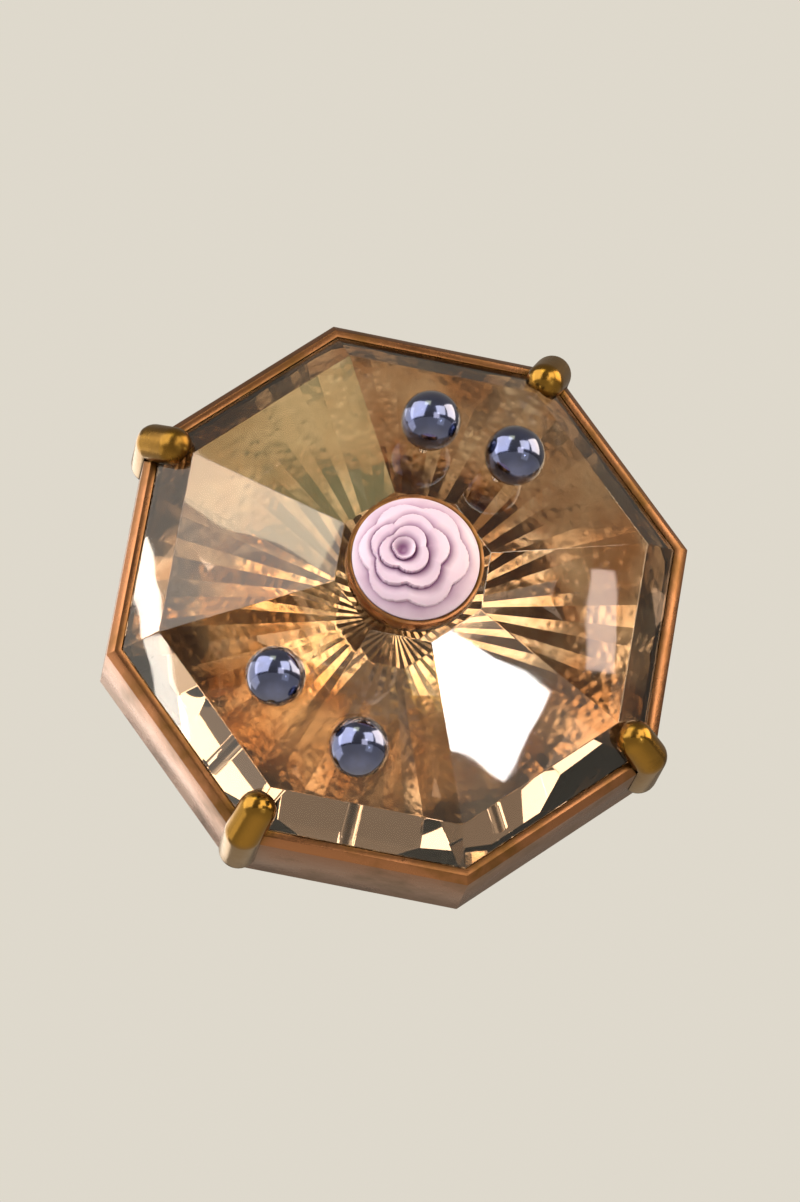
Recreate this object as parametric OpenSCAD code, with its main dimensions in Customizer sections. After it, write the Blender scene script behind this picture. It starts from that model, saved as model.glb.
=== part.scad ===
// Octagonal glass brooch: a faceted, foil-backed glass dome in a gilt claw
// setting, with a moulded rose and four half-drilled beads pegged to its face,
// and a hinged pin with a turning safety catch across its back.
// Upright as worn: the face looks along -Y, +Z is up, and the origin is the
// middle of the pin's shank, where the cloth holds it.

/* [Overall] */
// Distance from the brooch's middle to the setting's outer corners
setting_radius = 20; // [18:0.5:24]
// Direction of the first corner, in degrees round the face
corner_turn = 13; // [0:1:44]
// Depth of the setting from its back to its lip
setting_depth = 6.2; // [6:0.1:9]

/* [Glass dome] */
// Thickness of the straight band round the glass
girdle_height = 1.3; // [1:0.1:1.8]
// Height of the steep rim facets
rim_facet_height = 2.5; // [1.5:0.1:3]
// Distance from the middle to the top corners of the rim facets
rim_facet_radius = 16.7; // [15:0.1:17.5]
// Height of the eight main facets
main_facet_height = 4.1; // [3:0.1:5]
// Distance from the middle to the corners of the small flat top
table_radius = 5.3; // [5:0.1:7]
// Distance from the middle to the corners of the small flat underneath
culet_radius = 3; // [2:0.1:5]

/* [Foil] */
// Number of pleats pressed into the foil
foil_pleats = 32; // [24:8:48]
// Height of a pleat at the foil's edge
foil_pleat_height = 0.3; // [0.2:0.05:0.7]
// Thickness of the foil
foil_thickness = 0.12; // [0.1:0.02:0.3]

/* [Rose] */
// Diameter of the moulded rose
rose_diameter = 8.4; // [7:0.1:9]
// Height of the rose above its cup's floor
rose_height = 3.2; // [2.5:0.1:4]

/* [Beads] */
// Diameter of the four beads
bead_diameter = 4; // [3.5:0.1:4.5]
// Diameter of the pegs that hold the beads and the rose
peg_diameter = 0.7; // [0.6:0.05:0.9]
// Depth that each peg goes into the glass
peg_depth = 1.8; // [1.2:0.1:2.2]

/* [Claws] */
// Width of a claw's wire
claw_width = 2.6; // [2:0.1:3]
// Distance that a claw reaches in over the glass
claw_reach = 1.9; // [1.4:0.1:2.4]

/* [Pin] */
// Height of the pin above the brooch's middle
pin_height = 7; // [5:0.5:8]
// Distance from the back plate to the middle of the pin
pin_stand_off = 3.2; // [3:0.1:4]
// Diameter of the pin wire
pin_diameter = 0.8; // [0.7:0.05:0.9]
// Distance along the brooch from the pin's hinge to its middle
hinge_reach = 11.5; // [10:0.5:12]
// Distance from the middle to the centre of the catch
catch_reach = 10.5; // [9.5:0.5:11]
// Angle that the pin opens through, in degrees
pin_open_angle = 75; // [60:1:75]

/* [Hidden] */
smooth = 64;                 // facets round a preview circle
sides = 8;                   // sides of the setting and the dome
side_turn = 360 / sides;
flat_share = cos(side_turn / 2);   // flat-to-middle distance over corner-to-middle
wall = 0.9;                  // setting wall, measured across a flat
plate_thickness = 0.9;
fit_gap = 0.02;              // gap between pieces fixed to each other
girdle_base = setting_depth - girdle_height;
glass_radius = setting_radius - (wall + 0.05) / flat_share;
glass_top = setting_depth + rim_facet_height + main_facet_height;
culet_height = plate_thickness + 0.3;   // glass's lowest flat, above the setting's back
bearer_wall = 1.3;
lip_chamfer = 0.45;
foil_radius = glass_radius - (bearer_wall + 0.15) / flat_share;
claw_sink = 0.55;            // wire's middle, inside the setting's corner
claw_foot = 2.2;             // middle of a claw's rounded foot above the setting's back
peg_radius = peg_diameter / 2;
peg_hole_radius = peg_radius + fit_gap;
bead_radius = bead_diameter / 2;
cup_radius = 0.95;           // seat under each bead
cup_height = 0.4;
bead_height = bead_radius - 0.1;   // bead's centre above the facet
rose_radius = rose_diameter / 2;
rose_wall = 0.3;
rose_cup_floor = 0.4;
rose_cup_height = 1.5;
rose_peg_radius = 0.6;
rose_peg_depth = 2.6;
// Each bead: direction round the face and distance from the middle
bead_upper_left_place = [83.5, 9.7];
bead_upper_right_place = [51, 9.9];
bead_lower_left_place = [221, 11.1];
bead_lower_right_place = [254, 12];
main_tilt = atan(main_facet_height / ((rim_facet_radius - table_radius) * flat_share));
rim_tilt = atan(rim_facet_height / ((glass_radius - rim_facet_radius) * flat_share));
back_slope = (girdle_base - culet_height) / ((glass_radius - culet_radius) * flat_share);
// Pin mechanism
pin_radius = pin_diameter / 2;
bar_length = 30;
bar_width = 5;
bar_thickness = 0.8;
bar_rivet_radius = 0.9;
bar_rivet_reach = 5;
bar_rivet_dome = 0.45;
bracket_floor = 0.45;
ear_gap = 1.6;               // room between the hinge's two ears
ear_thickness = 0.7;
ear_radius = 1.15;
eye_radius = 1.05;
eye_thickness = 1.5;
hinge_rivet_radius = 0.4;
hinge_clearance = 0.04;
rivet_head_radius = 0.75;
rivet_head_thickness = 0.35;
heel_length = 1.78;          // meets the bracket's floor just past the open angle
heel_thickness = 0.8;
catch_length = 2.8;
catch_outer = 1.75;
catch_inner = 1.25;
rotor_outer = 1.2;
rotor_inner = 0.64;
rotor_slot = 1.14;
rotor_flange = 0.35;
rotor_flange_radius = 1.6;
flange_gap = 0.06;
pin_shank = hinge_reach + catch_reach - catch_length / 2 - flange_gap - rotor_flange - 0.4;
pin_reach = hinge_reach + catch_reach + 3.4;   // hinge to point
catch_opening_from = -38;    // shell's opening, measured from straight back towards down
catch_opening_to = 122;
lever_reach = 3.1;
lever_thickness = 0.5;
lever_width = 1.6;

// Working axes: x to the right, y up the face, z out of the face from the
// back plate's rear. worn() stands that up and moves the pin to the origin.
module worn() {
    translate([0, -pin_stand_off, -pin_height]) rotate([90, 0, 0]) children();
}

// Straight octagonal block standing on z = from
module octagon(radius, from, height) {
    translate([0, 0, from]) rotate(corner_turn) cylinder(r = radius, h = height, $fn = sides);
}

// Takes away everything above a plane that leans inwards over each side.
// The plane passes through the flat at corner distance radius and height.
module lean_cuts(radius, height, tilt) {
    for (k = [0 : sides - 1])
        rotate(corner_turn + side_turn * (k + 0.5))
            translate([radius * flat_share, 0, height])
                rotate([0, tilt, 0])
                    translate([-2 * setting_radius, -1.5 * setting_radius, 0])
                        cube([4 * setting_radius, 3 * setting_radius, setting_radius]);
}

// Moves to a place on the dome's main facets, with z square to the facet
module on_facet(place) {
    facet = corner_turn + side_turn * (floor((place[0] - corner_turn) / side_turn) + 0.5);
    along = place[1] * cos(place[0] - facet);
    top = glass_top - (along - table_radius * flat_share) * tan(main_tilt);
    rotate(facet)
        translate([along, place[1] * sin(place[0] - facet), top])
            rotate([0, main_tilt, 0]) children();
}

module at_beads() {
    for (place = [bead_upper_left_place, bead_upper_right_place, bead_lower_left_place, bead_lower_right_place])
        on_facet(place) children();
}

// The glass's outer shape: eight shallow back facets that meet a small flat,
// a straight girdle, then rim and main facets
module glass_block(grow = 0) {
    difference() {
        octagon(glass_radius + grow, culet_height - grow, glass_top - culet_height + 1);
        mirror([0, 0, 1]) lean_cuts(glass_radius, grow - girdle_base, atan(back_slope));
        lean_cuts(glass_radius, setting_depth + grow, rim_tilt);
        lean_cuts(table_radius, glass_top + grow, main_tilt);
        translate([0, 0, glass_top + grow + setting_radius / 2]) cube(setting_radius, center = true);
    }
}

// Faceted glass with five blind holes for the pegs
module glass_dome() {
    color([0.72, 0.45, 0.25, 0.6]) worn() difference() {
        glass_block();
        at_beads() translate([0, 0, -peg_depth - fit_gap])
            cylinder(r = peg_hole_radius, h = peg_depth + 1, $fn = smooth);
        translate([0, 0, glass_top - rose_peg_depth - fit_gap])
            cylinder(r = rose_peg_radius + fit_gap, h = rose_peg_depth + 1, $fn = smooth);
    }
}

// Distance from the middle to an octagon's edge in a given direction
function octagon_edge(radius, direction) =
    let (from_flat = (((direction - corner_turn) % side_turn) + side_turn) % side_turn - side_turn / 2)
    radius * flat_share / cos(from_flat);

// Height of the glass's back facets where they reach an octagon of this corner distance
function back_height(radius) = girdle_base - (glass_radius - radius) * flat_share * back_slope;

// Ring of points round an octagon, every second one pressed down into a pleat
function pleat_ring(radius, top, pleat) =
    [for (i = [0 : 2 * foil_pleats - 1]) let (a = corner_turn + 180 * i / foil_pleats, r = octagon_edge(radius, a))
        [r * cos(a), r * sin(a), top - (i % 2) * pleat]];

// Foil pressed to the glass's back facets, with pleats that fan out from the
// middle: two surfaces joined round the edge
module foil_backing() {
    n = foil_pleats * 2;
    gap = 2 * fit_gap;
    outer = pleat_ring(foil_radius, back_height(foil_radius) - gap, foil_pleat_height);
    inner = pleat_ring(culet_radius, culet_height - gap, foil_pleat_height * culet_radius / foil_radius);
    down = [0, 0, -foil_thickness];
    middle = [0, 0, culet_height - gap - foil_thickness / 4];
    points = concat(inner, outer, [for (p = inner) p + down], [for (p = outer) p + down], [middle, middle + down]);
    hub = 4 * n;
    faces = concat(
        [for (i = [0 : n - 1]) let (j = (i + 1) % n) [hub, j, i]],
        [for (i = [0 : n - 1]) let (j = (i + 1) % n) [i, j, n + i]],
        [for (i = [0 : n - 1]) let (j = (i + 1) % n) [j, n + j, n + i]],
        [for (i = [0 : n - 1]) let (j = (i + 1) % n) [hub + 1, 2 * n + i, 2 * n + j]],
        [for (i = [0 : n - 1]) let (j = (i + 1) % n) [2 * n + j, 2 * n + i, 3 * n + i]],
        [for (i = [0 : n - 1]) let (j = (i + 1) % n) [2 * n + j, 3 * n + i, 3 * n + j]],
        [for (i = [0 : n - 1]) let (j = (i + 1) % n) [n + i, n + j, 3 * n + i]],
        [for (i = [0 : n - 1]) let (j = (i + 1) % n) [n + j, 3 * n + j, 3 * n + i]]);
    color([0.80, 0.50, 0.28]) worn() polyhedron(points = points, faces = faces);
}

// Domed rose that sits in its cup
module rose_cabochon() {
    base = glass_top + rose_cup_floor + fit_gap;
    straight = 1.2;
    dome = rose_height - straight;
    ball = (rose_radius * rose_radius + dome * dome) / (2 * dome);
    color([0.90, 0.68, 0.76]) worn() translate([0, 0, base]) intersection() {
        cylinder(r = rose_radius, h = rose_height, $fn = smooth);
        translate([0, 0, rose_height - ball]) sphere(r = ball, $fn = smooth);
    }
}

// Shallow round cup with a peg below it
module rose_cup() {
    outer = rose_radius + fit_gap + rose_wall;
    color([0.62, 0.42, 0.40]) worn() translate([0, 0, glass_top + fit_gap / 2]) {
        difference() {
            cylinder(r = outer, h = rose_cup_height, $fn = smooth);
            translate([0, 0, rose_cup_floor])
                cylinder(r = rose_radius + fit_gap, h = rose_cup_height, $fn = smooth);
        }
        translate([0, 0, -rose_peg_depth])
            cylinder(r = rose_peg_radius, h = rose_peg_depth + rose_cup_floor / 2, $fn = smooth);
    }
}

// Bead with a blind hole half way through it
module bead(place) {
    color([0.20, 0.26, 0.42]) worn() on_facet(place)
        difference() {
            translate([0, 0, bead_height]) sphere(r = bead_radius, $fn = smooth);
            cylinder(r = peg_hole_radius, h = bead_height, $fn = smooth);
            // flat that rests on the cup
            translate([0, 0, -bead_radius])
                cylinder(r = cup_radius + fit_gap, h = bead_radius + cup_height + fit_gap, $fn = smooth);
        }
}

module blue_bead_upper_left() { bead(bead_upper_left_place); }
module blue_bead_upper_right() { bead(bead_upper_right_place); }
module blue_bead_lower_left() { bead(bead_lower_left_place); }
module blue_bead_lower_right() { bead(bead_lower_right_place); }

// Four gilt pegs, each with a round seat under its bead
module bead_pegs() {
    color([0.72, 0.55, 0.30]) worn() at_beads() {
        translate([0, 0, fit_gap / 2]) cylinder(r = cup_radius, h = cup_height, $fn = smooth);
        translate([0, 0, -peg_depth])
            cylinder(r = peg_radius, h = peg_depth + bead_height - 0.15, $fn = smooth);
    }
}

// Octagonal wall of the setting, open at both ends, with a bevelled lip
module setting_rim() {
    color([0.62, 0.38, 0.24]) worn() difference() {
        octagon(setting_radius, 0, setting_depth);
        octagon(setting_radius - wall / flat_share, -1, setting_depth + 2);
        lean_cuts(setting_radius - lip_chamfer / flat_share, setting_depth, 50);
    }
}

// Inner ledge soldered inside the wall, sloped on top where the glass rests on it
module bearer_ring() {
    inner_wall = setting_radius - wall / flat_share;
    base = plate_thickness + fit_gap;
    color([0.66, 0.46, 0.26]) worn() difference() {
        octagon(inner_wall - fit_gap, base, girdle_base - fit_gap - base);
        octagon(inner_wall - bearer_wall / flat_share, 0, setting_depth);
        glass_block(fit_gap);
    }
}

// Flat plate that closes the back, with two holes for the bar's rivets
module back_plate() {
    color([0.66, 0.46, 0.26]) worn() difference() {
        octagon(setting_radius - (wall + fit_gap) / flat_share, 0, plate_thickness);
        at_bar_rivets() translate([0, 0, -1]) cylinder(r = bar_rivet_radius + fit_gap, h = 3, $fn = smooth);
    }
}

// Half-round wire claw: it rises up a corner of the wall and bends in over the glass
module claw(corner) {
    wire = claw_width / 2;
    slope = atan(rim_facet_height / (glass_radius - rim_facet_radius));
    color([0.70, 0.53, 0.22]) worn() rotate(corner) difference() {
        translate([setting_radius - claw_sink, 0, 0]) {
            translate([0, 0, claw_foot]) sphere(r = wire, $fn = smooth);
            translate([0, 0, claw_foot]) cylinder(r = wire, h = setting_depth - claw_foot, $fn = smooth);
            translate([0, 0, setting_depth]) {
                sphere(r = wire, $fn = smooth);
                rotate([0, slope - 90, 0]) {
                    cylinder(r = wire, h = claw_reach, $fn = smooth);
                    translate([0, 0, claw_reach]) sphere(r = wire, $fn = smooth);
                }
            }
        }
        // shaped to the wall and the glass behind it
        rotate(-corner) {
            octagon(setting_radius + fit_gap, -2, setting_depth + 2 + fit_gap);
            glass_block(fit_gap);
        }
    }
}

module claw_upper_right() { claw(corner_turn + side_turn); }
module claw_upper_left() { claw(corner_turn + 3 * side_turn); }
module claw_lower_left() { claw(corner_turn + 5 * side_turn); }
module claw_lower_right() { claw(corner_turn + 7 * side_turn); }

module at_bar_rivets() {
    for (side = [-1, 1]) translate([side * bar_rivet_reach, pin_height, 0]) children();
}

// Long strip on the back that carries the hinge and the catch
module pin_bar() {
    half = bar_length / 2 - bar_width / 2;
    color([0.70, 0.54, 0.30]) worn() difference() {
        translate([0, pin_height, -bar_thickness]) {
            translate([-half, -bar_width / 2, 0]) cube([2 * half, bar_width, bar_thickness]);
            for (side = [-1, 1])
                translate([side * half, 0, 0]) cylinder(d = bar_width, h = bar_thickness, $fn = smooth);
        }
        at_bar_rivets() translate([0, 0, -2]) cylinder(r = bar_rivet_radius + fit_gap, h = 3, $fn = smooth);
    }
}

// Two domed rivets through the bar and the back plate
module bar_rivets() {
    dome_radius = 1.5;
    ball = (dome_radius * dome_radius + bar_rivet_dome * bar_rivet_dome) / (2 * bar_rivet_dome);
    color([0.70, 0.54, 0.30]) worn() at_bar_rivets() {
        translate([0, 0, -bar_thickness - fit_gap]) {
            cylinder(r = bar_rivet_radius, h = bar_thickness + plate_thickness + 2 * fit_gap, $fn = smooth);
            intersection() {
                translate([0, 0, -bar_rivet_dome]) cylinder(r = dome_radius, h = bar_rivet_dome, $fn = smooth);
                translate([0, 0, ball - bar_rivet_dome]) sphere(r = ball, $fn = smooth);
            }
        }
        translate([0, 0, plate_thickness + fit_gap / 2])
            cylinder(r = 1.3, h = 0.3, $fn = smooth);
    }
}

module at_hinge() { translate([-hinge_reach, pin_height, -pin_stand_off]) children(); }
module at_catch() { translate([catch_reach, pin_height, -pin_stand_off]) children(); }

// Folded bracket with two ears; the pin's eye turns between them
module hinge_bracket() {
    outside = ear_gap + 2 * ear_thickness;
    floor_top = pin_stand_off - bar_thickness - fit_gap / 2;
    color([0.72, 0.55, 0.30]) worn() at_hinge() difference() {
        union() {
            translate([-1.9, -outside / 2, floor_top - bracket_floor]) cube([3.8, outside, bracket_floor]);
            for (side = [-1, 1])
                translate([0, side * (ear_gap + ear_thickness) / 2, 0]) {
                    rotate([90, 0, 0]) cylinder(r = ear_radius, h = ear_thickness, center = true, $fn = smooth);
                    translate([-ear_radius, -ear_thickness / 2, 0]) cube([2 * ear_radius, ear_thickness, floor_top - 0.1]);
                }
        }
        rotate([90, 0, 0]) cylinder(r = hinge_rivet_radius + fit_gap / 2, h = 2 * outside, center = true, $fn = smooth);
    }
}

// Rivet through the ears and the eye, with a head on each end
module hinge_rivet() {
    length = ear_gap + 2 * ear_thickness + fit_gap;
    color([0.74, 0.58, 0.32]) worn() at_hinge() rotate([90, 0, 0]) {
        cylinder(r = hinge_rivet_radius, h = length + 2 * rivet_head_thickness, center = true, $fn = smooth);
        for (side = [-1, 1])
            translate([0, 0, side * (length + rivet_head_thickness) / 2])
                cylinder(r = rivet_head_radius, h = rivet_head_thickness, center = true, $fn = smooth);
    }
}

// Sharp steel pin with a flat eye at one end and a heel that stops it open
module pin_stem() {
    color([0.78, 0.76, 0.72]) worn() at_hinge() difference() {
        union() {
            rotate([90, 0, 0]) cylinder(r = eye_radius, h = eye_thickness, center = true, $fn = smooth);
            rotate([0, 90, 0]) cylinder(r = pin_radius, h = pin_shank, $fn = smooth);
            translate([pin_shank, 0, 0]) rotate([0, 90, 0])
                cylinder(r1 = pin_radius, r2 = 0.06, h = pin_reach - pin_shank, $fn = smooth);
            translate([-heel_length, -eye_thickness / 2, -heel_thickness / 2])
                cube([heel_length, eye_thickness, heel_thickness]);
        }
        rotate([90, 0, 0])
            cylinder(r = hinge_rivet_radius + hinge_clearance, h = 2 * eye_thickness, center = true, $fn = smooth);
    }
}

// Wedge of space seen from the catch's axis, from one angle to another,
// measured from straight back (-z) towards down (-y)
module catch_wedge(from, to, length) {
    far = 6;
    steps = 6;
    edge = [for (i = [0 : steps]) let (a = from + (to - from) * i / steps) [-far * cos(a), -far * sin(a)]];
    // outline drawn in z and y, then laid along x
    rotate([0, 90, 0]) translate([0, 0, -length / 2])
        linear_extrude(length) polygon(concat([[0, 0]], [for (p = edge) [-p[0], p[1]]]));
}

// Open shell on a foot; it keeps the turning catch in place
module catch_body() {
    foot_top = pin_stand_off - bar_thickness - fit_gap / 2;
    color([0.70, 0.54, 0.30]) worn() at_catch() {
        difference() {
            union() {
                rotate([0, 90, 0]) cylinder(r = catch_outer, h = catch_length, center = true, $fn = smooth);
                translate([-catch_length / 2, -1.2, 0]) cube([catch_length, 2.4, foot_top]);
            }
            rotate([0, 90, 0]) cylinder(r = catch_inner, h = 2 * catch_length, center = true, $fn = smooth);
            catch_wedge(catch_opening_from, catch_opening_to, 2 * catch_length);
        }
    }
}

// Slotted sleeve that turns inside the shell, with a flange at each end and a thumb lever
module catch_rotor() {
    reach = catch_length + 2 * flange_gap;
    color([0.76, 0.60, 0.34]) worn() at_catch() difference() {
        union() {
            rotate([0, 90, 0]) cylinder(r = rotor_outer, h = reach + 0.2, center = true, $fn = smooth);
            for (side = [-1, 1])
                translate([side * (reach + rotor_flange) / 2, 0, 0]) rotate([0, 90, 0])
                    cylinder(r = rotor_flange_radius, h = rotor_flange, center = true, $fn = smooth);
            // lever hangs down with its rounded end away from the axis
            translate([-lever_width / 2, -lever_reach, -lever_thickness / 2])
                cube([lever_width, lever_reach - rotor_inner - 0.1, lever_thickness]);
            translate([0, -lever_reach, 0])
                cylinder(d = lever_width, h = lever_thickness, center = true, $fn = smooth);
        }
        rotate([0, 90, 0]) cylinder(r = rotor_inner, h = 2 * reach, center = true, $fn = smooth);
        translate([-reach, -rotor_slot / 2, -5]) cube([2 * reach, rotor_slot, 5]);
    }
}

glass_dome();
foil_backing();
rose_cabochon();
rose_cup();
blue_bead_upper_left();
blue_bead_upper_right();
blue_bead_lower_left();
blue_bead_lower_right();
bead_pegs();
setting_rim();
bearer_ring();
back_plate();
claw_upper_right();
claw_upper_left();
claw_lower_left();
claw_lower_right();
pin_bar();
bar_rivets();
hinge_bracket();
hinge_rivet();
pin_stem();
catch_body();
catch_rotor();
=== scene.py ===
"""Looks for an octagonal glass brooch with a rose and four beads on its face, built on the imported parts."""

import math

import bmesh
import bpy
from mathutils import Matrix, Quaternion, Vector


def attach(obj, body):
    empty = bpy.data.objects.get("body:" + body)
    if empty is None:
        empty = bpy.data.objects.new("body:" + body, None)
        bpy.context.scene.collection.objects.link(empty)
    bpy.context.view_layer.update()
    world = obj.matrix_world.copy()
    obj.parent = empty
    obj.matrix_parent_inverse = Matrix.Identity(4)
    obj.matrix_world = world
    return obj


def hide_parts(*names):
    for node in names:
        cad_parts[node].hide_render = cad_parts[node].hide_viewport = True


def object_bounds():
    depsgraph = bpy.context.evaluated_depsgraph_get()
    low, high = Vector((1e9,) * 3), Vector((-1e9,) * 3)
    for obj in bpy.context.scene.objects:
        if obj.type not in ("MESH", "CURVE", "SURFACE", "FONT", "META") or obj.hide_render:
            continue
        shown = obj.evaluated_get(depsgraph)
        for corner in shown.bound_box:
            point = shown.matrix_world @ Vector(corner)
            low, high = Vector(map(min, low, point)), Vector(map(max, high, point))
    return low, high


bl_info = {
    "name": "Glass brooch",
    "version": (1, 0, 0),
    "blender": (4, 5, 0),
    "location": "3D View > Sidebar > Brooch",
    "description": "Builds the polished pieces, finishes and studio of an octagonal glass brooch",
    "category": "Object",
}

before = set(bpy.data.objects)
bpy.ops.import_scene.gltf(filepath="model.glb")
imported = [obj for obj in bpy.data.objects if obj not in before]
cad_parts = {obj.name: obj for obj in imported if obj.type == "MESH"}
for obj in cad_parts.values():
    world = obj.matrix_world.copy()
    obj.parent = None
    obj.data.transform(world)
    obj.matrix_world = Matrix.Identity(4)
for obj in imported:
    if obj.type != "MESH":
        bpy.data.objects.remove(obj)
CAD_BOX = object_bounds()

MM = 0.001
# Every piece is shaped with x to the right, y up the face and z out of it from the back plate's rear,
# then stood up to face -Y with the pin's shank through the origin.
PIN_STAND_OFF = 3.2 * MM
PIN_ABOVE_MIDDLE = 7.0 * MM
PIN_TO_MIDDLE = Matrix.Translation((0, -PIN_STAND_OFF, -PIN_ABOVE_MIDDLE))
FACE = PIN_TO_MIDDLE @ Matrix.Rotation(math.radians(90), 4, "X")
SIDES = 8
SIDE_TURN = 360 / SIDES
FLAT_SHARE = math.cos(math.radians(SIDE_TURN / 2))
SHARP_ANGLE = math.radians(32)
CUT_TOLERANCE = 1e-8


# ---------------------------------------------------------------- sizes and colours

def size_prop(name, description, default):
    return bpy.props.FloatProperty(name=name, description=description, default=default, min=0,
                                   subtype="DISTANCE", unit="LENGTH", precision=5)


def colour_prop(name, description, code):
    return bpy.props.FloatVectorProperty(name=name, description=description, size=3, subtype="COLOR",
                                         min=0, max=1, default=hex_colour(code))


def hex_colour(code):
    """Linear colour of an sRGB hex code."""
    channels = [int(code[i:i + 2], 16) / 255 for i in (1, 3, 5)]
    return [c / 12.92 if c <= 0.04045 else ((c + 0.055) / 1.055) ** 2.4 for c in channels]


class BroochSizes(bpy.types.PropertyGroup):
    """Sizes of the pieces that are finished here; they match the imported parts"""
    setting_radius: size_prop("Setting radius", "Middle to an outer corner of the setting", 20 * MM)
    setting_depth: size_prop("Setting depth", "Back of the setting to its lip", 6.2 * MM)
    wall: size_prop("Wall", "Thickness of the setting's wall", 0.9 * MM)
    glass_radius: size_prop("Glass radius", "Middle to a corner of the glass", 18.972 * MM)
    girdle_base: size_prop("Girdle base", "Height of the lower edge of the glass's straight band", 4.9 * MM)
    culet_radius: size_prop("Culet radius", "Middle to a corner of the small flat under the glass", 3 * MM)
    culet_height: size_prop("Culet height", "Height of the small flat under the glass", 1.2 * MM)
    rim_facet_radius: size_prop("Rim facet radius", "Middle to a top corner of the rim facets", 16.7 * MM)
    rim_facet_height: size_prop("Rim facet height", "Height of the steep rim facets", 2.5 * MM)
    main_facet_height: size_prop("Main facet height", "Height of the eight main facets", 4.1 * MM)
    table_radius: size_prop("Table radius", "Middle to a corner of the flat top", 5.3 * MM)
    polished_edge: size_prop("Polished edge", "Width of the softened edges of the glass", 0.14 * MM)
    bead_radius: size_prop("Bead radius", "Radius of the four beads", 2.0 * MM)
    rose_radius: size_prop("Rose radius", "Radius of the moulded rose", 4.2 * MM)
    rose_height: size_prop("Rose height", "Height of the rose above its cup's floor", 3.2 * MM)
    corner_turn: bpy.props.FloatProperty(name="Corner turn", subtype="ANGLE", unit="ROTATION",
                                         description="Direction of the first corner round the face",
                                         default=math.radians(13))


class BroochColours(bpy.types.PropertyGroup):
    """Colours of the finishes"""
    glass_tint: colour_prop("Glass", "Colour that the glass keeps from light passing through it", "#E2CAAC")
    foil_copper: colour_prop("Foil copper", "Warm copper of the foil", "#CCA676")
    foil_gold: colour_prop("Foil gold", "Paler gold of the foil", "#F2E7CA")
    bead_blue: colour_prop("Bead blue", "Metallic coat of the beads", "#3F4E82")
    rose_pink: colour_prop("Rose pink", "Petals of the rose", "#D2BFDA")
    # the rose's mauve is painted shade in its folds, darkest towards the middle
    rose_mauve_shade: colour_prop("Rose mauve", "Folds and middle of the rose", "#7E4F80")
    gilt: colour_prop("Gilt", "Polished gilding", "#86652B")
    # the old gilt colour is both the cloudy tarnish and the painted shade that all the plated metals take in
    # their recesses
    old_gilt_and_shade: colour_prop("Old gilt", "Darkened gilding in the recesses", "#5C431C")
    rose_gilt: colour_prop("Rose gilt", "Copper-coloured gilding of the wall", "#8E6244")
    nickel: colour_prop("Nickel", "Plated steel of the pin", "#C9C5BC")
    floor: colour_prop("Floor", "Floor and background", "#E9E3D6")


# ---------------------------------------------------------------- mesh helpers

def finish_piece(bm, name, body, material, stands_for, smooth=True, stand_up=True):
    """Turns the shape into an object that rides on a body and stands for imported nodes."""
    if stand_up:
        bm.transform(FACE)
    bmesh.ops.recalc_face_normals(bm, faces=bm.faces)
    if bm.calc_volume(signed=True) < 0:
        bmesh.ops.reverse_faces(bm, faces=bm.faces)
    mesh = bpy.data.meshes.new(name)
    bm.to_mesh(mesh)
    bm.free()
    piece = bpy.data.objects.new(name, mesh)
    bpy.context.scene.collection.objects.link(piece)
    mesh.materials.append(material)
    if smooth:
        smooth_by_angle(mesh)
    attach(piece, body)
    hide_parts(stands_for)
    return piece


def smooth_by_angle(mesh):
    """Smooth shading, with sharp edges left crisp."""
    mesh.polygons.foreach_set("use_smooth", [True] * len(mesh.polygons))
    mesh.set_sharp_from_angle(angle=SHARP_ANGLE)


def slice_off(bm, point, normal):
    """Cuts away everything on the normal's side of a plane and closes the cut."""
    geom = bm.verts[:] + bm.edges[:] + bm.faces[:]
    bmesh.ops.bisect_plane(bm, geom=geom, plane_co=point, plane_no=normal, clear_outer=True,
                           dist=CUT_TOLERANCE)
    open_edges = [e for e in bm.edges if e.is_boundary]
    if open_edges:
        bmesh.ops.holes_fill(bm, edges=open_edges, sides=0)


def octagon_block(bm, radius, base, height, turn):
    """An octagonal block with its first corner at the turn."""
    middle = Matrix.Translation((0, 0, base + height / 2)) @ Matrix.Rotation(turn, 4, "Z")
    return bmesh.ops.create_cone(bm, cap_ends=True, segments=SIDES, radius1=radius, radius2=radius,
                                 depth=height, matrix=middle)["verts"]


def lean_slices(bm, radius, height, tilt, turn, up=1):
    """Cuts a ring of sloping facets, above or below, that start at the flats of the given corner radius."""
    for k in range(SIDES):
        way = turn + math.radians(SIDE_TURN * (k + 0.5))
        across = Vector((math.cos(way), math.sin(way), 0))
        slice_off(bm, across * radius * FLAT_SHARE + Vector((0, 0, height)),
                  across * math.sin(tilt) + Vector((0, 0, up * math.cos(tilt))))


def cut_holes(piece, cutter_shape):
    """Takes the shape out of the piece."""
    mesh = bpy.data.meshes.new("cutter")
    cutter_shape.to_mesh(mesh)
    cutter_shape.free()
    cutter = bpy.data.objects.new("cutter", mesh)
    bpy.context.scene.collection.objects.link(cutter)
    cut = piece.modifiers.new("holes", "BOOLEAN")
    cut.operation, cut.solver, cut.object = "DIFFERENCE", "EXACT", cutter
    bpy.context.view_layer.update()
    whole = bpy.data.meshes.new_from_object(piece.evaluated_get(bpy.context.evaluated_depsgraph_get()))
    piece.modifiers.remove(cut)
    whole.name = piece.data.name
    piece.data = whole
    bpy.data.objects.remove(cutter)


# ---------------------------------------------------------------- node helpers

def add_node(tree, kind, inputs=None, **settings):
    """Adds a node, sets its properties, and sets or links its inputs."""
    node = tree.nodes.new(kind)
    for key, value in settings.items():
        setattr(node, key, value)
    for key, value in (inputs or {}).items():
        if isinstance(value, bpy.types.NodeSocket):
            tree.links.new(value, node.inputs[key])
        else:
            node.inputs[key].default_value = value
    return node


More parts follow.
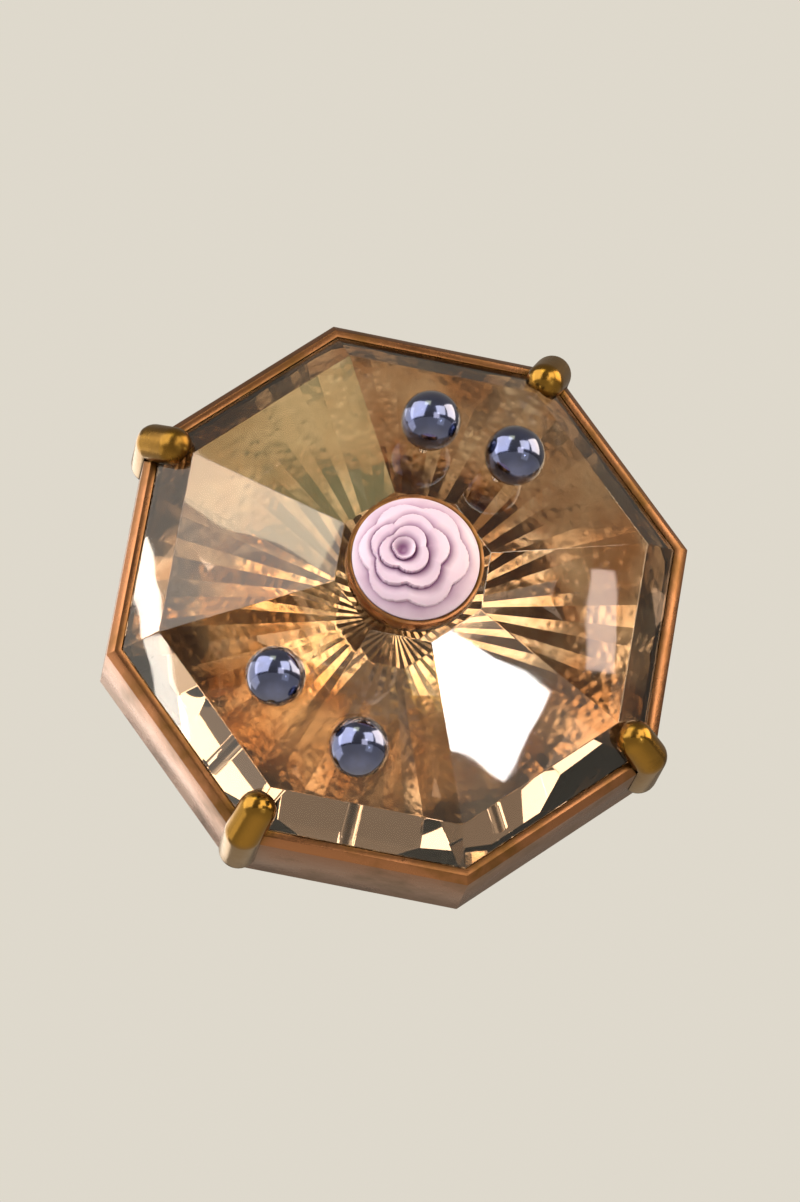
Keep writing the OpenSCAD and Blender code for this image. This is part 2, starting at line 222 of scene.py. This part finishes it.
def new_material(name):
    """A material with its shader, its tree and its object coordinates."""
    material = bpy.data.materials.new(name)
    material.use_nodes = True
    tree = material.node_tree
    shader = tree.nodes["Principled BSDF"]
    place = tree.nodes.new("ShaderNodeTexCoord").outputs["Object"]
    return material, tree, shader, place


def set_shader(shader, **values):
    for key, value in values.items():
        shader.inputs[key.replace("_", " ")].default_value = value


def opaque(colour):
    return (*colour, 1.0)


def ramp(tree, factor, low, high):
    """The factor stretched so that low goes to 0 and high to 1."""
    stretched = add_node(tree, "ShaderNodeMapRange", {"Value": factor, "From Min": low, "From Max": high})
    return stretched.outputs["Result"]


def repeats(millimetres):
    """The scale of a pattern whose features are this far apart."""
    return 1 / (millimetres * MM)


GLASS_DEPTH_OF_COLOUR = 52.0


def cut_glass(colours):
    """Pressed and polished topaz-coloured lead glass: clear facets, faintly wavy from the mould."""
    material, tree, shader, place = new_material("pressed_topaz_glass")
    set_shader(shader, Roughness=0.015, IOR=1.56)
    shader.inputs["Transmission Weight"].default_value = 1.0
    shader.inputs["Base Color"].default_value = opaque(hex_colour("#FDF9F6"))
    # waves from the mould, so reflections bend a little over a facet
    waves = add_node(tree, "ShaderNodeTexNoise", {"Vector": place, "Scale": repeats(5.9), "Detail": 1.0})
    bump = add_node(tree, "ShaderNodeBump", {"Height": waves.outputs["Fac"], "Strength": 0.08,
                                             "Distance": 0.12 * MM})
    tree.links.new(bump.outputs["Normal"], shader.inputs["Normal"])
    tint = add_node(tree, "ShaderNodeVolumeAbsorption", {"Color": opaque(colours.glass_tint),
                                                         "Density": GLASS_DEPTH_OF_COLOUR})
    tree.links.new(tint.outputs["Volume"], tree.nodes["Material Output"].inputs["Volume"])
    return material


def pleated_foil(colours):
    """Rolled copper-gold foil: bright, finely crinkled, with cloudy colour."""
    material, tree, shader, place = new_material("copper_gold_foil")
    set_shader(shader, Metallic=1.0)
    cloud = add_node(tree, "ShaderNodeTexNoise", {"Vector": place, "Scale": repeats(4.5), "Detail": 3.0})
    colour = add_node(tree, "ShaderNodeMix", {"Factor": ramp(tree, cloud.outputs["Fac"], 0.38, 0.62),
                                              "A": opaque(colours.foil_copper),
                                              "B": opaque(colours.foil_gold)}, data_type="RGBA")
    tree.links.new(colour.outputs["Result"], shader.inputs["Base Color"])
    crinkle = add_node(tree, "ShaderNodeTexVoronoi", {"Vector": place, "Scale": repeats(0.625)},
                       feature="SMOOTH_F1")
    bump = add_node(tree, "ShaderNodeBump", {"Height": crinkle.outputs["Distance"], "Strength": 0.25,
                                             "Distance": 0.2 * MM})
    tree.links.new(bump.outputs["Normal"], shader.inputs["Normal"])
    rough = add_node(tree, "ShaderNodeMapRange", {"Value": cloud.outputs["Fac"],
                                                  "To Min": 0.14, "To Max": 0.3})
    tree.links.new(rough.outputs["Result"], shader.inputs["Roughness"])
    return material


def plated_metal(name, bright, dark, roughness, grain, bump_height, stretch=(1, 1, 1)):
    """Plated and polished metal that has dulled unevenly: soft cloudy tarnish, fine rubbed marks, and painted
    shade that darkens it in recesses and corners.
    """
    material, tree, shader, place = new_material(name)
    set_shader(shader, Metallic=1.0)
    tarnish = add_node(tree, "ShaderNodeTexNoise", {"Vector": place, "Scale": repeats(3.8), "Detail": 5.0,
                                                    "Roughness": 0.6})
    # painted shade: where ambient occlusion finds metal close by, in recesses and corners, the colour goes
    # towards the dark old gilt
    corner = add_node(tree, "ShaderNodeAmbientOcclusion", {"Distance": 1.2 * MM}, samples=8)
    unshaded_part = ramp(tree, corner.outputs["AO"], 0.45, 0.95)
    clean_part = ramp(tree, tarnish.outputs["Fac"], 0.25, 0.52)
    mixed = add_node(tree, "ShaderNodeMath", {0: unshaded_part, 1: clean_part}, operation="MULTIPLY")
    colour = add_node(tree, "ShaderNodeMix", {"Factor": mixed.outputs["Value"], "A": opaque(dark),
                                              "B": opaque(bright)}, data_type="RGBA")
    tree.links.new(colour.outputs["Result"], shader.inputs["Base Color"])
    low, high = roughness
    rough = add_node(tree, "ShaderNodeMapRange", {"Value": tarnish.outputs["Fac"], "From Min": 0.3,
                                                  "From Max": 0.7, "To Min": high, "To Max": low})
    tree.links.new(rough.outputs["Result"], shader.inputs["Roughness"])
    lines = add_node(tree, "ShaderNodeMapping", {"Vector": place, "Scale": stretch})
    marks = add_node(tree, "ShaderNodeTexNoise", {"Vector": lines.outputs["Vector"], "Scale": grain,
                                                  "Detail": 4.0})
    bump = add_node(tree, "ShaderNodeBump", {"Height": marks.outputs["Fac"], "Strength": 0.3,
                                             "Distance": bump_height})
    tree.links.new(bump.outputs["Normal"], shader.inputs["Normal"])
    return material


def antique_gilt(colours):
    """Gilded brass, barrel-polished then worn: gold with cloudy brown tarnish and painted brown shade in the
    recesses.
    """
    return plated_metal("antique_gilt_brass", colours.gilt, colours.old_gilt_and_shade, (0.16, 0.34),
                        repeats(0.385), 0.03 * MM)


def rose_gold_plate(colours):
    """Rose-gold plate on stamped brass: copper-brown, with a softer shine."""
    return plated_metal("rose_gilt_brass", colours.rose_gilt, colours.old_gilt_and_shade, (0.2, 0.38),
                        repeats(0.417), 0.04 * MM)


def nickel_plate(colours):
    """Nickel-plated drawn wire: bright, with draw lines along it."""
    return plated_metal("nickel_plated_wire", colours.nickel, colours.old_gilt_and_shade, (0.14, 0.26),
                        repeats(0.2), 0.02 * MM, stretch=(0.08, 1, 1))


def coated_bead(colours):
    """Round glass bead with a dark blue hematite coat: almost a mirror, slightly uneven."""
    material, tree, shader, place = new_material("blue_hematite_coat")
    set_shader(shader, Metallic=1.0)
    # metal-oxide film with a high index: pale, almost colourless highlights over the blue
    shader.inputs["Coat Weight"].default_value = 1.0
    shader.inputs["Coat IOR"].default_value = 1.8
    shader.inputs["Coat Roughness"].default_value = 0.12
    cloud = add_node(tree, "ShaderNodeTexNoise", {"Vector": place, "Scale": repeats(1.1), "Detail": 3.0})
    blue = Vector(colours.bead_blue)
    colour = add_node(tree, "ShaderNodeMix", {"Factor": ramp(tree, cloud.outputs["Fac"], 0.35, 0.65),
                                              "A": opaque(blue * 0.7), "B": opaque(blue)}, data_type="RGBA")
    tree.links.new(colour.outputs["Result"], shader.inputs["Base Color"])
    rough = add_node(tree, "ShaderNodeMapRange", {"Value": cloud.outputs["Fac"],
                                                  "To Min": 0.08, "To Max": 0.2})
    tree.links.new(rough.outputs["Result"], shader.inputs["Roughness"])
    bump = add_node(tree, "ShaderNodeBump", {"Height": cloud.outputs["Fac"], "Strength": 0.12,
                                             "Distance": 0.05 * MM})
    tree.links.new(bump.outputs["Normal"], shader.inputs["Normal"])
    return material


def moulded_rose(colours):
    """Cast pink resin with painted mauve shade in its folds, darkest towards the middle: soft shine, a little
    light let in.
    """
    material, tree, shader, place = new_material("moulded_pink_resin")
    set_shader(shader, Roughness=0.32, IOR=1.5)
    shader.inputs["Subsurface Weight"].default_value = 0.25
    shader.inputs["Subsurface Radius"].default_value = (1.2 * MM, 0.6 * MM, 0.8 * MM)
    shader.inputs["Subsurface Scale"].default_value = 1.0
    # painted shade: the fold attribute darkens the folds towards mauve, made uneven by noise
    fold_shade = add_node(tree, "ShaderNodeAttribute", attribute_name="fold_shade").outputs["Fac"]
    rub = add_node(tree, "ShaderNodeTexNoise", {"Vector": place, "Scale": repeats(2), "Detail": 3.0})
    uneven = add_node(tree, "ShaderNodeMath", {0: rub.outputs["Fac"], 1: 0.5, 2: fold_shade},
                      operation="MULTIPLY_ADD")
    deep = ramp(tree, uneven.outputs["Value"], 0.5, 1.15)
    colour = add_node(tree, "ShaderNodeMix", {"Factor": deep, "A": opaque(colours.rose_pink),
                                              "B": opaque(colours.rose_mauve_shade)}, data_type="RGBA")
    tree.links.new(colour.outputs["Result"], shader.inputs["Base Color"])
    bump = add_node(tree, "ShaderNodeBump", {"Height": rub.outputs["Fac"], "Strength": 0.15,
                                             "Distance": 0.1 * MM})
    tree.links.new(bump.outputs["Normal"], shader.inputs["Normal"])
    return material


def studio_paper(colours):
    """Matt pale paper; a little light of its own keeps it pale away from the panels."""
    material, _, shader, _ = new_material("pale_studio_paper")
    shader.inputs["Roughness"].default_value = 0.9
    shader.inputs["Base Color"].default_value = opaque(colours.floor)
    shader.inputs["Emission Color"].default_value = opaque(colours.floor)
    shader.inputs["Emission Strength"].default_value = 0.38
    return material


def finish(name):
    """The finish with this name, made when it is first asked for."""
    colours = bpy.context.scene.brooch_colours
    made = bpy.data.materials.get(FINISHES[name][0])
    return made or FINISHES[name][1](colours)


FINISHES = {
    "glass": ("pressed_topaz_glass", cut_glass),
    "foil": ("copper_gold_foil", pleated_foil),
    "bead": ("blue_hematite_coat", coated_bead),
    "rose": ("moulded_pink_resin", moulded_rose),
    "gilt": ("antique_gilt_brass", antique_gilt),
    "rose_gilt": ("rose_gilt_brass", rose_gold_plate),
    "nickel": ("nickel_plated_wire", nickel_plate),
}


# ---------------------------------------------------------------- pieces

class PieceOperator:
    bl_options = {"REGISTER", "UNDO"}

    @property
    def sizes(self):
        return bpy.context.scene.brooch_sizes

    def polish(self, node, body, slot, coat, rounding=0.08 * MM, smooth=True):
        """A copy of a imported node, welded, with its sharp edges rounded as polishing leaves them."""
        bm = bmesh.new()
        bm.from_mesh(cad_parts[node].data)
        bmesh.ops.remove_doubles(bm, verts=bm.verts, dist=0.002 * MM)
        bmesh.ops.dissolve_limit(bm, angle_limit=math.radians(0.5), verts=bm.verts, edges=bm.edges)
        if rounding:
            sharp = [e for e in bm.edges if len(e.link_faces) == 2 and e.calc_face_angle() > SHARP_ANGLE]
            bmesh.ops.bevel(bm, geom=sharp, offset=rounding / 2, offset_type="WIDTH", segments=2,
                            profile=0.5, affect="EDGES", clamp_overlap=True, material=-1)
        finish_piece(bm, f"{node}_polished", body, finish(coat), node, smooth=smooth, stand_up=False)


def facet_frame(sizes, direction, distance):
    """Matrix of a place on the main facets, with z square to the facet."""
    turn = math.degrees(sizes.corner_turn)
    facet = turn + SIDE_TURN * (math.floor((direction - turn) / SIDE_TURN) + 0.5)
    along = distance * math.cos(math.radians(direction - facet))
    side = distance * math.sin(math.radians(direction - facet))
    tilt = main_tilt(sizes)
    top = glass_top(sizes) - (along - sizes.table_radius * FLAT_SHARE) * math.tan(tilt)
    return (Matrix.Rotation(math.radians(facet), 4, "Z") @ Matrix.Translation((along, side, top))
            @ Matrix.Rotation(tilt, 4, "Y"))


def main_tilt(sizes):
    return math.atan(sizes.main_facet_height / ((sizes.rim_facet_radius - sizes.table_radius) * FLAT_SHARE))


def rim_tilt(sizes):
    return math.atan(sizes.rim_facet_height / ((sizes.glass_radius - sizes.rim_facet_radius) * FLAT_SHARE))


def back_tilt(sizes):
    rise = sizes.girdle_base - sizes.culet_height
    return math.atan(rise / ((sizes.glass_radius - sizes.culet_radius) * FLAT_SHARE))


def glass_top(sizes):
    return sizes.setting_depth + sizes.rim_facet_height + sizes.main_facet_height


# direction in degrees round the face, and distance from its middle
BEAD_PLACES = {
    "blue_bead_upper_left": (83.5, 9.7 * MM),
    "blue_bead_upper_right": (51, 9.9 * MM),
    "blue_bead_lower_left": (221, 11.1 * MM),
    "blue_bead_lower_right": (254, 12.0 * MM),
}
PEG_HOLE = 0.37 * MM
PEG_DEPTH = 1.82 * MM
SEAT_HEIGHT = 0.42 * MM
# how far a bead's round would reach below the facet, and how much of its radius is drilled
BEAD_SINK = 0.1 * MM
DRILLED_SHARE = 0.75
ROSE_PEG_HOLE = 0.62 * MM
ROSE_PEG_DEPTH = 2.62 * MM
# floor of the rose's cup above the glass, and the straight side of the rose that stands in the cup
ROSE_CUP_FLOOR = 0.42 * MM
ROSE_SIDE = 1.2 * MM


class BROOCH_OT_glass_dome(PieceOperator, bpy.types.Operator):
    """Cut the octagonal glass with its main and rim facets and its peg holes"""
    bl_idname = "brooch.glass_dome"
    bl_label = "Glass dome"

    def execute(self, context):
        s = self.sizes
        top = glass_top(s)
        bm = bmesh.new()
        octagon_block(bm, s.glass_radius, s.culet_height, top - s.culet_height, s.corner_turn)
        lean_slices(bm, s.glass_radius, s.girdle_base, back_tilt(s), s.corner_turn, up=-1)
        lean_slices(bm, s.glass_radius, s.setting_depth, rim_tilt(s), s.corner_turn)
        lean_slices(bm, s.table_radius, top, main_tilt(s), s.corner_turn)
        bmesh.ops.remove_doubles(bm, verts=bm.verts, dist=0.005 * MM)
        bmesh.ops.dissolve_limit(bm, angle_limit=math.radians(1), verts=bm.verts, edges=bm.edges)
        bmesh.ops.bevel(bm, geom=bm.edges[:], offset=s.polished_edge / 2, offset_type="WIDTH", segments=2,
                        profile=0.5, affect="EDGES", material=-1)
        piece = finish_piece(bm, "glass_dome_cut", "brooch", finish("glass"), "glass_dome",
                             smooth=False)
        holes = bmesh.new()
        for place in BEAD_PLACES.values():
            bmesh.ops.create_cone(holes, cap_ends=True, segments=40, radius1=PEG_HOLE, radius2=PEG_HOLE,
                                  depth=2 * PEG_DEPTH, matrix=facet_frame(s, *place))
        bmesh.ops.create_cone(holes, cap_ends=True, segments=48, radius1=ROSE_PEG_HOLE,
                              radius2=ROSE_PEG_HOLE, depth=2 * ROSE_PEG_DEPTH,
                              matrix=Matrix.Translation((0, 0, top)))
        holes.transform(FACE)
        cut_holes(piece, holes)
        return {"FINISHED"}


class BROOCH_OT_beads(PieceOperator, bpy.types.Operator):
    """Turn the four half-drilled beads"""
    bl_idname = "brooch.beads"
    bl_label = "Beads"

    def execute(self, context):
        s = self.sizes
        for node, place in BEAD_PLACES.items():
            bm = bmesh.new()
            bmesh.ops.create_uvsphere(bm, u_segments=64, v_segments=40, radius=s.bead_radius,
                                      matrix=Matrix.Translation((0, 0, s.bead_radius - BEAD_SINK)))
            # flat round the drilled hole, where the bead rests on its cup
            slice_off(bm, Vector((0, 0, SEAT_HEIGHT)), Vector((0, 0, -1)))
            flat = [f for f in bm.faces if f.calc_center_median().z < SEAT_HEIGHT + 0.001 * MM]
            bmesh.ops.inset_region(bm, faces=flat, thickness=0.05 * MM, depth=0)
            wide = max(v.co.xy.length for f in flat for v in f.verts)
            for v in {v for f in flat for v in f.verts}:
                v.co.xy *= PEG_HOLE / wide
            drilled = bmesh.ops.extrude_face_region(bm, geom=flat)["geom"]
            bottom = [g for g in drilled if isinstance(g, bmesh.types.BMVert)]
            bmesh.ops.translate(bm, verts=bottom, vec=(0, 0, s.bead_radius * DRILLED_SHARE))
            bmesh.ops.delete(bm, geom=flat, context="FACES")
            bm.transform(facet_frame(s, *place))
            finish_piece(bm, f"{node}_round", "brooch", finish("bead"), node)
        return {"FINISHED"}


# rings of petals from the bud outwards: edge as a share of the rose's radius, number of petals,
# direction of the first petal, depth of the lobes
PETAL_RINGS = [
    (0.21, 1, 0.5, 0.45),
    (0.40, 3, 1.2, 0.24),
    (0.62, 5, 0.2, 0.17),
    (0.86, 6, 0.9, 0.12),
    (1.25, 7, 0.0, 0.0),
]
BUD_SHIFT = Vector((-0.34, 0.02))
FOLD_DEPTH = 0.5 * MM
# how quickly the bud and the petals fall from their edges, and how steep the step to the next one is
BUD_FALL = 1.6
PETAL_FALL = 0.6
PETAL_STEP = 1.6
# painted mauve shade in the folds at the middle, how much of it fades out towards the rim, and how soon the
# folds fade there
FOLD_SHADE_AT_MIDDLE = 1.35
FOLD_SHADE_FADE_AT_RIM = 0.8
RIM_FADE = 3


def petal_fold(spot, radius):
    """How deep a spot lies in the folds of the rose: 0 on a petal's edge, 1 at its root."""
    past = None
    for share, petals, first, lobe in PETAL_RINGS:
        across = spot - BUD_SHIFT * radius * max(0, 1 - share)
        way = math.atan2(across.y, across.x)
        edge = share * radius * (1 - lobe * (1 - abs(math.cos(petals * (way - first) / 2))))
        reach = across.length / edge
        if reach < 1:
            if past is None:
                return 1 - reach ** BUD_FALL
            along = (past - 1) / (past - 1 + PETAL_STEP * (1 - reach))
            return 1 - along ** PETAL_FALL
        past = reach
    return 0


class BROOCH_OT_rose(PieceOperator, bpy.types.Operator):
    """Mould the rose: a low dome with rings of overlapping petals round a curled bud"""
    bl_idname = "brooch.rose"
    bl_label = "Rose"

    def execute(self, context):
        s = self.sizes
        floor = glass_top(s) + ROSE_CUP_FLOOR
        r, dome = s.rose_radius, s.rose_height - ROSE_SIDE
        ball = (r * r + dome * dome) / (2 * dome)
        bm = bmesh.new()
        fold_shade = bm.verts.layers.float_color.new("fold_shade")
        bmesh.ops.create_uvsphere(bm, u_segments=180, v_segments=168, radius=1.0)
        bmesh.ops.bisect_plane(bm, geom=bm.verts[:] + bm.edges[:] + bm.faces[:], plane_co=(0, 0, 0),
                               plane_no=(0, 0, -1), clear_outer=True)
        for v in bm.verts:
            # spread the half ball's rings evenly over the disc, then press the petals into its dome
            spread = r * math.acos(min(1, v.co.z)) / (math.pi / 2)
            spot = v.co.xy.normalized() * spread if v.co.xy.length > 1e-6 else Vector((0, 0))
            deep = petal_fold(spot, r)
            # painted shade: the deeper a spot lies in a fold, the more mauve it takes, most at the middle and
            # less towards the rim
            mauve = deep * (FOLD_SHADE_AT_MIDDLE - FOLD_SHADE_FADE_AT_RIM * spread / r)
            v[fold_shade] = (mauve, mauve, mauve, 1)
            height = s.rose_height - ball + math.sqrt(ball * ball - spread * spread)
            v.co = (spot.x, spot.y, height - FOLD_DEPTH * deep * min(1, RIM_FADE * (1 - spread / r)))
        rim_edges = [e for e in bm.edges if e.is_boundary]
        skirt = bmesh.ops.extrude_edge_only(bm, edges=rim_edges)["geom"]
        foot = [g for g in skirt if isinstance(g, bmesh.types.BMVert)]
        bmesh.ops.translate(bm, verts=foot, vec=(0, 0, -ROSE_SIDE))
        bmesh.ops.holes_fill(bm, edges=[e for e in bm.edges if e.is_boundary], sides=0)
        bmesh.ops.translate(bm, verts=bm.verts, vec=(0, 0, floor))
        finish_piece(bm, "rose_moulded", "brooch", finish("rose"), "rose_cabochon")
        return {"FINISHED"}


class BROOCH_OT_metalwork(PieceOperator, bpy.types.Operator):
    """Round and finish the edges of the setting, claws, pin bar, hinge, pin and catch"""
    bl_idname = "brooch.metalwork"
    bl_label = "Metalwork"

    GILT = ("bead_pegs", "bearer_ring", "back_plate", "claw_upper_right", "claw_upper_left",
            "claw_lower_left", "claw_lower_right", "pin_bar", "bar_rivets", "hinge_bracket",
            "hinge_rivet", "catch_body")

    def execute(self, context):
        for node in self.GILT:
            self.polish(node, "brooch", "gilt_brass", "gilt")
        self.polish("rose_cup", "brooch", "rose_gilt", "rose_gilt")
        self.polish("setting_rim", "brooch", "rose_gilt", "rose_gilt")
        self.polish("catch_rotor", "catch", "gilt_brass", "gilt")
        self.polish("pin_stem", "pin", "plated_steel", "nickel")
        return {"FINISHED"}


class BROOCH_OT_foil(PieceOperator, bpy.types.Operator):
    """Give the pleated foil its bright, crinkled finish; its creases stay sharp"""
    bl_idname = "brooch.foil"
    bl_label = "Foil"

    def execute(self, context):
        self.polish("foil_backing", "brooch", "copper_foil", "foil", rounding=0, smooth=False)
        return {"FINISHED"}


# ---------------------------------------------------------------- stage

CAMERA_AZIMUTH = -7
CAMERA_ELEVATION = -19
CAMERA_DISTANCE = 0.40
LENS = 180
FLOOR_DROP = 0.9
FLOOR_REACH = 8.0
# panels: direction from the brooch, distance, width and height in metres, roll in degrees,
# brightness, colour
PANELS = {
    "key_panel": ((-0.75, -0.45, 0.50), 0.6, 0.66, 0.66, 0, 3.5, "#FFF6EA"),
    "back_panel": ((-0.55, 0.75, 0.2), 0.6, 0.50, 0.50, 0, 2.5, "#FFF8EE"),
    "left_panel": ((-0.93, 0.15, 0.05), 0.6, 0.50, 0.80, 0, 1.4, "#FFF6E8"),
    "right_panel": ((0.55, -0.80, -0.30), 0.6, 0.28, 0.28, 0, 0.7, "#F2F0E2"),
    "front_panel": ((0.49, -0.77, 0.40), 0.6, 0.34, 0.34, 0, 4.2, "#FFF2DA"),
    "side_panel": ((0.88, -0.19, 0.44), 0.6, 0.42, 0.42, 0, 6.0, "#FFE6BE"),
    "middle_panel": ((0.25, -0.97, 0.04), 0.6, 0.22, 0.22, 0, 3.2, "#FFEFD8"),
    # mirrored by the facets at the upper left: a pale glow and the cream line beside the rose
    "over_panel": ((-0.218, -0.571, 0.793), 0.4, 0.12, 0.12, 0, 3.4, "#DDD796"),
    "over_strip": ((-0.552, -0.705, 0.445), 0.4, 0.007, 0.0224, 66, 8.0, "#F2DDB4"),
    # small bright windows, mirrored as the white patch and the thin bright lines
    "window_panel": ((0.523, -0.811, -0.263), 0.4, 0.0136, 0.018, 72, 26.0, "#FFFFFF"),
    "right_strip": ((0.759, -0.617, 0.210), 0.4, 0.0040, 0.0139, 3, 8.0, "#FFE6DC"),
    "left_strip_high": ((-0.874, 0.137, 0.465), 0.4, 0.0035, 0.0137, 24, 16.0, "#FFF4E6"),
    "left_strip_low": ((-0.914, -0.074, -0.398), 0.4, 0.0032, 0.0151, 156, 16.0, "#FFF4E6"),
}


def aim(thing, target):
    thing.rotation_mode = "QUATERNION"
    thing.rotation_quaternion = (Vector(target) - thing.location).to_track_quat("-Z", "Y")


class BROOCH_OT_stage(PieceOperator, bpy.types.Operator):
    """Set up the floor, the soft panels, the background and the camera"""
    bl_idname = "brooch.stage"
    bl_label = "Stage"

    def execute(self, context):
        scene = context.scene
        low, high = CAD_BOX
        middle = (low + high) / 2
        # the brooch is held up as if worn, so the floor is well below it
        bm = bmesh.new()
        bmesh.ops.create_grid(bm, x_segments=2, y_segments=2, size=FLOOR_REACH,
                              matrix=Matrix.Translation((0, 0, low.z - FLOOR_DROP)))
        mesh = bpy.data.meshes.new("floor")
        bm.to_mesh(mesh)
        bm.free()
        floor = bpy.data.objects.new("floor", mesh)
        scene.collection.objects.link(floor)
        mesh.materials.append(studio_paper(scene.brooch_colours))
        for name, (way, distance, wide, tall, roll, bright, code) in PANELS.items():
            lamp = bpy.data.lights.new(name, "AREA")
            lamp.shape, lamp.size, lamp.size_y = "RECTANGLE", wide, tall
            lamp.energy = bright * math.pi * wide * tall
            lamp.color = hex_colour(code)
            holder = bpy.data.objects.new(name, lamp)
            holder.location = middle + Vector(way).normalized() * distance
            aim(holder, middle)
            holder.rotation_quaternion @= Quaternion((0, 0, 1), math.radians(roll))
            scene.collection.objects.link(holder)
        self.light_world(scene)
        camera = bpy.data.objects.new("camera", bpy.data.cameras.new("camera"))
        a, e = math.radians(CAMERA_AZIMUTH), math.radians(CAMERA_ELEVATION)
        back = Vector((math.sin(a) * math.cos(e), -math.cos(a) * math.cos(e), math.sin(e)))
        camera.location = middle + back * CAMERA_DISTANCE
        aim(camera, middle)
        camera.data.lens = LENS
        camera.data.clip_start, camera.data.clip_end = 0.01, 20
        scene.collection.objects.link(camera)
        scene.camera = camera
        scene.view_settings.view_transform = "Standard"
        return {"FINISHED"}

    def light_world(self, scene):
        world = bpy.data.worlds.new("pale_studio")
        scene.world = world
        world.use_nodes = True
        tree = world.node_tree
        tree.nodes["Background"].inputs["Strength"].default_value = 0.9
        tree.nodes["Background"].inputs["Color"].default_value = opaque(scene.brooch_colours.floor)
        # dimmer room in front of the brooch, for its facets to mirror
        way = add_node(tree, "ShaderNodeTexCoord")
        split = add_node(tree, "ShaderNodeSeparateXYZ", {"Vector": way.outputs["Generated"]})
        facing = add_node(tree, "ShaderNodeMapRange", {"Value": split.outputs["Z"], "From Min": -0.5,
                                                       "From Max": 0.5, "To Min": 0.14, "To Max": 0.36})
        room = add_node(tree, "ShaderNodeBackground", {"Color": opaque(hex_colour("#F4E6D2")),
                                                       "Strength": facing.outputs["Result"]})
        seen = add_node(tree, "ShaderNodeLightPath")
        both = add_node(tree, "ShaderNodeMixShader", {0: seen.outputs["Is Camera Ray"],
                                                      1: room.outputs["Background"],
                                                      2: tree.nodes["Background"].outputs["Background"]})
        tree.links.new(both.outputs["Shader"], tree.nodes["World Output"].inputs["Surface"])


class BROOCH_PT_panel(bpy.types.Panel):
    """Lists the brooch's pieces, sizes and colours"""
    bl_idname = "BROOCH_PT_panel"
    bl_label = "Brooch"
    bl_space_type = "VIEW_3D"
    bl_region_type = "UI"
    bl_category = "Brooch"

    def draw(self, context):
        for operator in OPERATORS:
            self.layout.operator(operator.bl_idname)
        for group in (context.scene.brooch_sizes, context.scene.brooch_colours):
            box = self.layout.box()
            for name in group.bl_rna.properties.keys():
                if name not in ("rna_type", "name"):
                    box.prop(group, name)


OPERATORS = (BROOCH_OT_stage, BROOCH_OT_glass_dome, BROOCH_OT_foil, BROOCH_OT_beads, BROOCH_OT_rose,
             BROOCH_OT_metalwork)
CLASSES = (BroochSizes, BroochColours, *OPERATORS, BROOCH_PT_panel)


def register():
    for cls in CLASSES:
        bpy.utils.register_class(cls)
    bpy.types.Scene.brooch_sizes = bpy.props.PointerProperty(type=BroochSizes)
    bpy.types.Scene.brooch_colours = bpy.props.PointerProperty(type=BroochColours)


def unregister():
    del bpy.types.Scene.brooch_colours
    del bpy.types.Scene.brooch_sizes
    for cls in reversed(CLASSES):
        bpy.utils.unregister_class(cls)


def main():
    register()
    bpy.ops.brooch.stage()
    bpy.ops.brooch.glass_dome()
    bpy.ops.brooch.foil()
    bpy.ops.brooch.beads()
    bpy.ops.brooch.rose()
    bpy.ops.brooch.metalwork()


if __name__ == "__main__":
    main()
